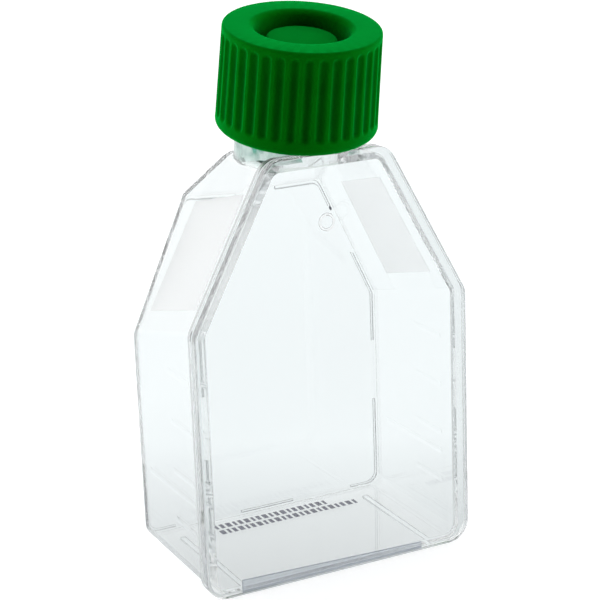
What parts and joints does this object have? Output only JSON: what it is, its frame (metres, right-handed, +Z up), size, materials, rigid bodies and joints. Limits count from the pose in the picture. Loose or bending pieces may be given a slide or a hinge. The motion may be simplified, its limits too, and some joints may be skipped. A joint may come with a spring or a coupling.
{
  "type": "cell culture flask",
  "caption": "Clear house-shaped culture flask with a welded cover plate, canted neck, stacking rails, foot ribs and a fluted vented screw cap.",
  "frame": {"origin": "centre of the box that the flask fills, at the level that it stands on", "axes": "+Z up along the standing flask, -Y out of the cover plate, +Y out of the growth wall with its stacking rails, X across the flask"},
  "size_m": [0.052, 0.0359, 0.0974],
  "materials": {
    "clear_body": "clear moulded polystyrene, glossy, with frosted panels on the shoulders",
    "clear_cover": "clear flat polystyrene plate, glossy",
    "green_cap": "green moulded polyethylene, satin",
    "filter_film": "white porous membrane, matt"
  },
  "bodies": {
    "flask": {"flask_body": "clear_body", "cover_plate": "clear_cover"},
    "closure": {"filter_membrane": "filter_film"},
    "cap": {"screw_cap": "green_cap"}
  },
  "joints": [
    {"name": "cap_lift", "type": "slide", "parent": "flask", "child": "closure", "axis": [0, -0.2079, 0.9781], "range_m": [0, 0.0053]},
    {"name": "cap_turn", "type": "hinge", "parent": "closure", "child": "cap", "pos_m": [0, -0.001, 0.07733], "axis": [0, -0.2079, 0.9781], "range_deg": [0, 450]}
  ],
  "couplings": [
    {"joint": "cap_lift", "follows": "cap_turn", "m_per_rad": 0.00066845}
  ]
}
